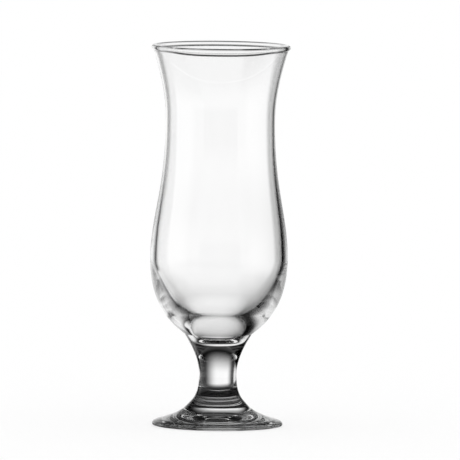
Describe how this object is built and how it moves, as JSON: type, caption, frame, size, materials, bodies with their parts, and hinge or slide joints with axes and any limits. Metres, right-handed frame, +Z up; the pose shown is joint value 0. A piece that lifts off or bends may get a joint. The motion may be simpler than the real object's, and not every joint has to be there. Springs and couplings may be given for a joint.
{
  "type": "hurricane glass",
  "caption": "Clear footed cocktail glass: a tall blown bowl with a belly, a waist and a flared beaded lip, fused to a short waisted stem and a round hollowed foot.",
  "frame": {"origin": "centre of the flat ring that the foot stands on", "axes": "+Z up the axis of the glass towards the lip; the glass is round, so X and Y are free"},
  "size_m": [0.0768, 0.0768, 0.21],
  "materials": {
    "blown_glass": "clear, colourless, fire polished",
    "pressed_glass": "clear, colourless, pressed and fire polished, with faint mould ripple"
  },
  "bodies": {
    "root": {"bowl": "blown_glass", "stem": "pressed_glass", "foot": "pressed_glass"}
  },
  "joints": []
}
